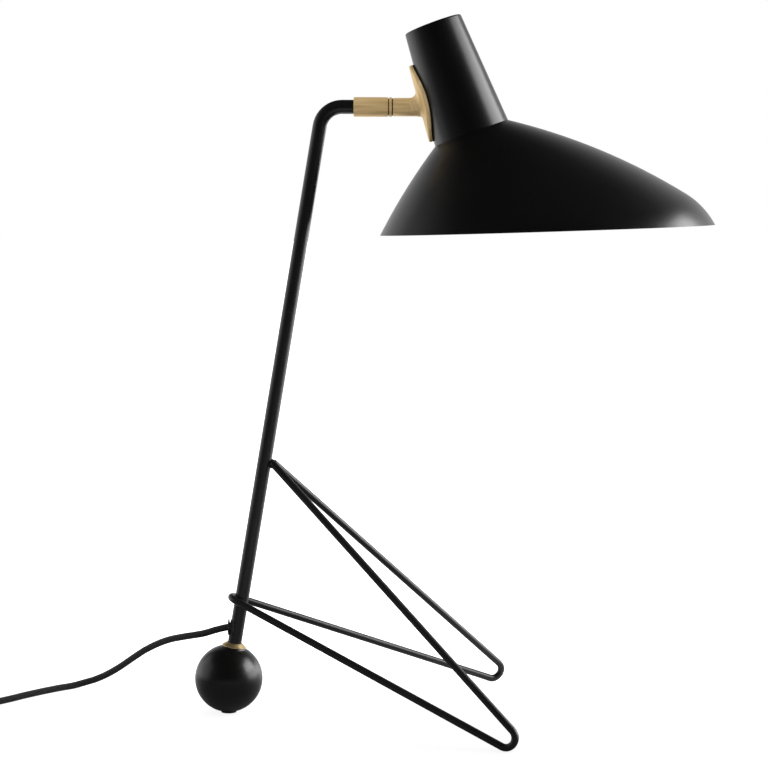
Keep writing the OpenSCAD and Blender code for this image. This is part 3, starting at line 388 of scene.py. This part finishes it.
COIL_X, COIL_Y, COIL_Z = LAY_X - COIL_OUT, SWITCH_END_Y - LINK_L - CORD_D, CORD_R + TIE_T + TIE_GAP
COIL_TOP_Z = COIL_Z + (COIL_LAYERS - 1) * LAYER_STEP
PLUG_T = 13.7
TAIL_X, PLUG_Y, PLUG_Z = COIL_X - COIL_OUT, COIL_Y + CORD_D + TAIL_L, PLUG_T / 2
ROUTE_STEPS, LINK_STEPS = 6, 5         # steps from each point of a route to the next
COIL_STEPS = 48                        # steps in each turn of the coil

# From inside the gland down to the table and along it to the switch.
LEAD = [
    (FLEX_X, 0, GLAND_Z), (GLAND_X, 0, GLAND_Z), (-3, 0, 61.6), (-10, 0.5, 59.7), (-18, 2.5, 56.9),
    (-25, 6, 54.9), (-36, 13.5, 51.6), (-46, 22, 47.8), (-56, 31, 42.5), (-66.5, 41, 35.5),
    (-76.5, 51, 27.5), (-87, 60, 19), (-97, 67, 12), (-106.5, 70.5, 7), (-116, 70.5, 4),
    (-124.5, 66.5, CORD_R), (-132.5, 59.5, CORD_R), (-140, 52, CORD_R), (-147.5, 43.5, CORD_R),
    (-155, 34.5, CORD_R), (-162, 25, CORD_R), (-169, 16.5, CORD_R), (-176, 8, CORD_R),
    (-182.5, -1, CORD_R), (-188, -11, CORD_R), (-192, -22, CORD_R),
    (LAY_X, -34, 3), (LAY_X, -44, 4.6), (LAY_X, -53, 7),
    (LAY_X, SWITCH_Y + 4, SWITCH_Z), (LAY_X, SWITCH_Y, SWITCH_Z)]
# From the switch down to the coil's lowest layer.
LINK = [
    (LAY_X, SWITCH_END_Y, SWITCH_Z), (LAY_X, SWITCH_END_Y - 4, SWITCH_Z),
    (LAY_X, SWITCH_END_Y - 8, SWITCH_Z), (LAY_X, SWITCH_END_Y - 14.5, 5.5),
    (LAY_X, SWITCH_END_Y - 21, COIL_Z), (LAY_X, SWITCH_END_Y - 25, COIL_Z),
    (LAY_X, SWITCH_END_Y - LINK_L, COIL_Z)]
# From the coil's top layer down to the plug.
TAIL = [
    (TAIL_X, PLUG_Y - TAIL_L, COIL_TOP_Z), (TAIL_X, PLUG_Y - 42, COIL_TOP_Z),
    (TAIL_X, PLUG_Y - 36, COIL_TOP_Z), (TAIL_X, PLUG_Y - 28, 16.5), (TAIL_X, PLUG_Y - 20, 10.5),
    (TAIL_X, PLUG_Y - 12, PLUG_Z), (TAIL_X, PLUG_Y - 6, PLUG_Z), (TAIL_X, PLUG_Y, PLUG_Z)]


def metres(points):
    return [Vector(p) * MM for p in points]


def coil_point(t):
    """The coil's centreline after t turns: spirals in, out, in and out, one layer above the other."""
    per_layer = LAYER_TURNS + CLIMB_TURNS
    layer = min(COIL_LAYERS - 1, int(t / per_layer))
    u = t - layer * per_layer
    wound = min(u, LAYER_TURNS)
    climb = max(0.0, u - LAYER_TURNS) / CLIMB_TURNS
    r = COIL_OUT - COIL_STEP * wound if layer % 2 == 0 else COIL_IN + COIL_STEP * wound
    z = COIL_Z + LAYER_STEP * (layer + (1 - math.cos(math.pi * climb)) / 2)
    a = 2 * math.pi * t
    return Vector((COIL_X + r * math.cos(a), COIL_Y - r * math.sin(a), z)) * MM


def make_cords():
    """The cord in two pieces: from the lamp to the switch, and from the switch to the plug."""
    lead = smooth_path(metres(LEAD), ROUTE_STEPS)
    lead_obj = tube("cord_cover_lead", lead, COVER_R * MM, CORD)
    turns = COIL_LAYERS * LAYER_TURNS + (COIL_LAYERS - 1) * CLIMB_TURNS
    coil = [coil_point(i / COIL_STEPS) for i in range(round(turns * COIL_STEPS) + 1)]
    far = smooth_path(metres(LINK), LINK_STEPS) + coil + smooth_path(metres(TAIL), ROUTE_STEPS)
    far_obj = tube("cord_cover_coil", far, COVER_R * MM, CORD)
    for obj in (lead_obj, far_obj):
        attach(obj, BASE)
    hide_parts("cord_lead")
    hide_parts("cord_link", "cord_coil", "cord_tail")


make_cords()


# ---------------------------------------------------------------- saddle, in mm
JOINT_Z = 434.8
FRONT_X, FRONT_L, SEAT_TO_NECK = 116.311, 22.2, 4.6
NECK_X = FRONT_X + FRONT_L
SEAT_X = NECK_X - SEAT_TO_NECK
FRONT_R, BORE_R, COUNTERBORE_R = 6.45, 5.0, 6.65
HEAD_TILT = math.radians(20.2)
JOINT_UP, SADDLE_RISE = 28.4, 3.0        # the joint's height on the neck, and the leaf's above that
NECK_R0, NECK_R1, NECK_L = 27.3, 20.8, 80.9
GASKET_T, SADDLE_T = 0.8, 2.5
LEAF_L, LEAF_W, LEAF_TIP_R = 55.4, 27.0, 5.0
FLARE_L, FLARE_UP = 5.6, 5.0             # length and height of the trumpet between sleeve and leaf
FLARE_LOW = 0.35                         # share of the trumpet left at its lower side
EDGE_R = 1.2                             # rounding of the leaf's outer edge
UNDER_EDGE = 0.1                         # the small chamfer under the leaf's outer edge
FRONT_EDGE = [(0, 0.35), (0.1, 0.12), (0.35, 0)]     # rounding of the sleeve's front: along and inwards
SLEEVE_END = (6, 4, 2, 0.7)              # rings on the sleeve, by their distance from the trumpet
TURNED_END_X = 127.5                     # where brush lines along the sleeve give way to those on the leaf
SADDLE_SHARP = 40.0                      # degrees from which an edge is shaded sharp
HALVINGS = 36                            # steps of each search by halves

NECK_SLOPE = (NECK_R0 - NECK_R1) / NECK_L
CONE_ANGLE = math.atan(NECK_SLOPE)
SADDLE_H = JOINT_UP + SADDLE_RISE * math.cos(CONE_ANGLE)
TIP_Y = LEAF_L / 2 - LEAF_TIP_R
LEAF_R = (TIP_Y ** 2 + (LEAF_W / 2) ** 2 - LEAF_TIP_R ** 2) / (LEAF_W - 2 * LEAF_TIP_R)
LEAF_CUT = TIP_Y * LEAF_R / (LEAF_R - LEAF_TIP_R)


def neck_r(h):
    return NECK_R0 - NECK_SLOPE * h


HEAD_X = NECK_X + neck_r(JOINT_UP) * math.cos(HEAD_TILT) + JOINT_UP * math.sin(HEAD_TILT)
HEAD_Z = JOINT_Z + neck_r(JOINT_UP) * math.sin(HEAD_TILT) - JOINT_UP * math.cos(HEAD_TILT)
HEAD_PLACE = Matrix.Translation((HEAD_X, 0, HEAD_Z)) @ Matrix.Rotation(-HEAD_TILT, 4, "Y")
WALL_PLACE = (HEAD_PLACE @ Matrix.Translation((-neck_r(SADDLE_H), 0, SADDLE_H))
              @ Matrix.Rotation(CONE_ANGLE, 4, "Y"))
TO_HEAD, TO_WALL = HEAD_PLACE.inverted(), WALL_PLACE.inverted()


def on_cone(outside, inside, off):
    """The point between two points that lies off the neck's cone by the given distance."""
    for _ in range(HALVINGS):
        middle = (outside + inside) / 2
        q = TO_HEAD @ middle
        if math.hypot(q.x, q.y) > neck_r(q.z) + off / math.cos(CONE_ANGLE):
            outside = middle
        else:
            inside = middle
    return (outside + inside) / 2


def leaf_reach(centre, along, across, inset):
    """How far the leaf's outline lies from its inner point in one direction, with the outline drawn in."""
    low, high = 0.0, LEAF_L
    for _ in range(HALVINGS):
        reach = (low + high) / 2
        v, u = abs(centre + along * reach), abs(across * reach)
        if v <= LEAF_CUT:
            within = math.hypot(v, u + LEAF_R - LEAF_W / 2) <= LEAF_R - inset
        else:
            within = math.hypot(v - TIP_Y, u) <= LEAF_TIP_R - inset
        low, high = (reach, high) if within else (low, reach)
    return low


def make_saddle(steps=176, quarter_steps=10):
    """Front sleeve and leaf in one skin: bore, sleeve, trumpet, leaf with a rounded edge, inner face."""
    turns = [2 * math.pi * k / steps for k in range(steps)]
    quarter = [math.pi / 2 * i / quarter_steps for i in range(quarter_steps + 1)]
    plate_off = GASKET_T + SADDLE_T

    def sleeve_ring(x, r):
        return [Vector((x, r * math.cos(a), JOINT_Z + r * math.sin(a))) for a in turns]

    def cone_point(a, r, off):
        y, z = r * math.cos(a), JOINT_Z + r * math.sin(a)
        return on_cone(Vector((FRONT_X, y, z)), Vector((NECK_X + NECK_R0, y, z)), off)

    def cone_ring(r, off):
        return [cone_point(a, r, off) for a in turns]

    def flare_ring(t):
        """A ring of the trumpet, from the sleeve (t 0) to the leaf (t a quarter turn)."""
        ring = []
        for a in turns:
            share = FLARE_LOW + (1 - FLARE_LOW) * (1 + math.sin(a)) / 2
            ring.append(cone_point(a, FRONT_R + share * FLARE_UP * (1 - math.cos(t)),
                                   plate_off + share * FLARE_L * (1 - math.sin(t))))
        return ring

    rim = [TO_WALL @ q for q in flare_ring(quarter[-1])]
    centre = (max(q.z for q in rim) + min(q.z for q in rim)) / 2
    hole = [TO_WALL @ q for q in cone_ring(COUNTERBORE_R, GASKET_T)]

    def leaf_ring(inner, share, inset, off):
        """A ring on the leaf: from an inner ring (share 0) to its outline (share 1)."""
        ring = []
        for q, start in zip(rim, inner):
            away = math.hypot(q.y, q.z - centre)
            across, along = q.y / away, (q.z - centre) / away
            reach = leaf_reach(centre, along, across, inset)
            u = start.y + (across * reach - start.y) * share
            v = start.z + (centre + along * reach - start.z) * share
            outside, inside = Vector((-NECK_R1, u, v)), Vector((NECK_R1 / 2, u, v))
            ring.append(on_cone(WALL_PLACE @ outside, WALL_PLACE @ inside, off))
        return ring

    rings = [sleeve_ring(SEAT_X, COUNTERBORE_R), sleeve_ring(SEAT_X, BORE_R), sleeve_ring(FRONT_X, BORE_R)]
    rings += [sleeve_ring(FRONT_X + along, FRONT_R - inwards) for along, inwards in FRONT_EDGE]
    rings += [cone_ring(FRONT_R, plate_off + FLARE_L + away) for away in SLEEVE_END]
    rings += [flare_ring(t) for t in quarter]
    rings += [leaf_ring(rim, share, EDGE_R, plate_off) for share in (0.25, 0.5, 0.75)]
    rings += [leaf_ring(rim, 1, EDGE_R * (1 - math.sin(a)), plate_off - EDGE_R * (1 - math.cos(a)))
              for a in quarter[::2]]
    rings += [leaf_ring(rim, 1, 0, GASKET_T + UNDER_EDGE), leaf_ring(rim, 1, UNDER_EDGE, GASKET_T)]
    rings += [leaf_ring(hole, share, UNDER_EDGE, GASKET_T) for share in (0.66, 0.33)]
    rings += [cone_ring(COUNTERBORE_R, GASKET_T)]

    verts = [q * MM for ring in rings for q in ring]
    obj = new_piece("brass_saddle", verts, bridged(len(rings), steps, closed=True), BRASS_PLATE)
    mend(obj, SADDLE_SHARP)
    obj.data.materials.append(BRASS)
    for face in obj.data.polygons:
        face.material_index = int(face.center.x < TURNED_END_X * MM)
    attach(obj, HEAD)
    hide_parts("saddle")


make_saddle()


# ---------------------------------------------------------------- shade
SHADE_SHARP = 24.0      # degrees from which an edge of the shade is shaded sharp


def make_shade():
    """The shade's own form, shaded smooth where its facets meet at a small angle."""
    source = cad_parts["shade"]
    verts = [source.matrix_world @ v.co for v in source.data.vertices]
    faces = [tuple(p.vertices) for p in source.data.polygons]
    obj = new_piece("lacquered_shade", verts, faces, BLACK_SHADE)
    mend(obj, SHADE_SHARP)
    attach(obj, HEAD)
    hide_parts("shade")


make_shade()


# ---------------------------------------------------------------- nodes that keep their form
FINISHES = {
    "ball": BLACK_BALL, "foot_pad": RUBBER, "ball_ferrule": BRASS_FOOT, "ball_stud": STEEL,
    "stem_insert": STEEL, "stem": BLACK_FRAME, "leg_frame": BLACK_FRAME, "cord_gland": PLASTIC,
    "gland_washer": PLASTIC, "cord_stop": STEEL, "stem_flex": SHEATH, "rear_sleeve": BRASS,
    "swivel_ring": BRASS, "swivel_washers": BRASS_PAINTED_SHADE, "spindle": STEEL, "spring_washer": STEEL,
    "saddle_gasket": GASKET, "saddle_screws": STEEL, "neck": BLACK_SHADE, "holder_bracket": STEEL,
    "holder_nipple": STEEL, "nipple_nut": STEEL, "holder_body": HOLDER, "holder_shell": NICKEL,
    "holder_contact": BRASS_FOOT, "bulb_glass": OPAL, "bulb_cap": NICKEL, "bulb_contact": NICKEL,
    "head_flex": SHEATH, "switch_lower": PLASTIC, "switch_upper": PLASTIC, "switch_rocker": ROCKER,
    "switch_screws": STEEL, "switch_terminals": BRASS_FOOT, "cord_tie": TIE, "plug_body": PLASTIC,
    "plug_pins": NICKEL}


def finish_nodes():
    for name, material in FINISHES.items():
        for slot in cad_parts[name].material_slots:
            slot.material = material


finish_nodes()


# ---------------------------------------------------------------- floor, light, background, in metres
FLOOR_SIDE, FLOOR_NEAR, FLOOR_FAR = 12, -3, 24
FLOOR_START, FLOOR_RISE = 0.40, 1.8     # the tone under the object, and its rise for each metre back
FLOOR_MOTTLE, MOTTLE_SHARE = 6.0, 0.1
# The floor's base colour is painted shade: near black in front of and under the object, where gloss sees it,
# pale further back.
FLOOR_PAINTED_SHADE_TONES = [(0.0, (0.05, 0.05, 0.05)), (0.4, (0.10, 0.10, 0.10)), (0.8, (0.70, 0.70, 0.70))]
FLOOR_GLOWS = [(0.0, (0.95, 0.95, 0.95)), (0.3, (0.86, 0.86, 0.86))]     # what the camera sees on top
PLAIN_LIGHT = 1.40      # even light on every surface
SWEEP_LIGHT = 1.0       # white sweep behind the object, as gloss sees it
SWEEP_WIDTH = 1.35      # how far back, from 0 in front to 2 behind, the sweep reaches its full white
SWEEP_FALL = 1.6        # how fast it darkens towards the front
OVERHEAD_FALL = 1.3     # and towards the ceiling
FRONT_LIGHT = 0.006     # the dark side of the room
# Each light's place, the point that it aims at, its width and height, and its radiance. The low panel aims
# a hair off straight up, which settles how it is turned.
LIGHTS = {
    "right_box": ((1.15, 0.08, 0.74), (0.15, 0.0, 0.46), (1.00, 0.66), 7.5),
    "right_low_box": ((1.20, 0.40, 0.22), (0.05, 0.0, 0.10), (1.60, 0.36), 4.0),
    "left_box": ((-1.30, 0.30, 0.50), (0.10, 0.0, 0.30), (1.80, 1.20), 0.55),
    "low_panel": ((0.12, -0.48, 0.004), (0.12, -0.4799, 1.0), (0.90, 0.50), 0.5)}


def make_floor():
    """A matt floor, dark near the object as painted shade, that also glows towards the camera alone."""
    m = Finish("floor")
    at = m.where()
    reach = m.calc("ADD", m.calc("MULTIPLY", m.split(at)["Y"], FLOOR_RISE), FLOOR_START)
    tone = m.calc("ADD", reach, m.calc("MULTIPLY", m.noise(at, FLOOR_MOTTLE, detail=3.0), MOTTLE_SHARE))
    m.join(m.ramp(tone, FLOOR_PAINTED_SHADE_TONES), m.bsdf.inputs["Base Color"])
    m.set(Roughness=0.9, Specular_IOR_Level=0.0)
    glow = m.node("ShaderNodeEmission")
    rays = m.node("ShaderNodeLightPath")
    m.join(m.ramp(tone, FLOOR_GLOWS), glow.inputs["Color"])
    m.join(rays.outputs["Is Camera Ray"], glow.inputs["Strength"])
    both = m.node("ShaderNodeAddShader")
    m.join(m.bsdf.outputs["BSDF"], both.inputs[0])
    m.join(glow.outputs["Emission"], both.inputs[1])
    m.join(both.outputs["Shader"], m.out.inputs["Surface"])
    verts = [(-FLOOR_SIDE, FLOOR_NEAR, 0), (FLOOR_SIDE, FLOOR_NEAR, 0),
             (FLOOR_SIDE, FLOOR_FAR, 0), (-FLOOR_SIDE, FLOOR_FAR, 0)]
    new_piece("floor", verts, [(0, 1, 2, 3)], m.mat, smooth=False)


def make_world():
    """Even light for every surface and white where the camera looks past the object. Gloss sees a white
    sweep behind the object that darkens towards the photographer and overhead."""
    world = bpy.data.worlds.new("studio")
    bpy.context.scene.world = world
    world.use_nodes = True
    world.node_tree.nodes.clear()
    m = Nodes(world.node_tree)
    rays = m.node("ShaderNodeLightPath").outputs
    way = m.split(m.node("ShaderNodeTexCoord").outputs["Generated"])
    back_share = m.calc("MULTIPLY", m.calc("ADD", way["Y"], 1.0), 1 / SWEEP_WIDTH, clamp=True)
    sweep = m.calc("POWER", back_share, SWEEP_FALL)
    overhead = m.calc("MULTIPLY", m.calc("MAXIMUM", way["Z"], 0.0), OVERHEAD_FALL)
    low = m.calc("SUBTRACT", 1.0, overhead, clamp=True)
    gloss = m.calc("MULTIPLY_ADD", m.calc("MULTIPLY", sweep, low), SWEEP_LIGHT, FRONT_LIGHT)
    seen = m.calc("ADD", rays["Is Camera Ray"], rays["Is Transmission Ray"], clamp=True)
    is_gloss = rays["Is Glossy Ray"]
    plain = m.calc("SUBTRACT", 1.0, m.calc("ADD", seen, is_gloss, clamp=True), clamp=True)
    strength = m.calc("MULTIPLY_ADD", is_gloss, gloss, m.calc("MULTIPLY_ADD", plain, PLAIN_LIGHT, seen))
    back = m.node("ShaderNodeBackground")
    back.inputs["Color"].default_value = (1, 1, 1, 1)
    m.join(strength, back.inputs["Strength"])
    m.join(back.outputs[0], m.node("ShaderNodeOutputWorld").inputs["Surface"])


def softbox(name, place, aim, size, radiance):
    """A rectangular light of even radiance that the camera doesn't see."""
    data = bpy.data.lights.new(name, "AREA")
    data.shape = "RECTANGLE"
    data.size, data.size_y = size
    data.energy = radiance * math.pi * size[0] * size[1]
    lamp = bpy.data.objects.new(name, data)
    lamp.location = place
    lamp.rotation_euler = (Vector(aim) - Vector(place)).to_track_quat("-Z", "Y").to_euler()
    lamp.visible_camera = False
    bpy.context.collection.objects.link(lamp)


make_floor()
make_world()
for light_name, facts in LIGHTS.items():
    softbox(light_name, *facts)

bpy.context.scene.view_settings.view_transform = "Standard"
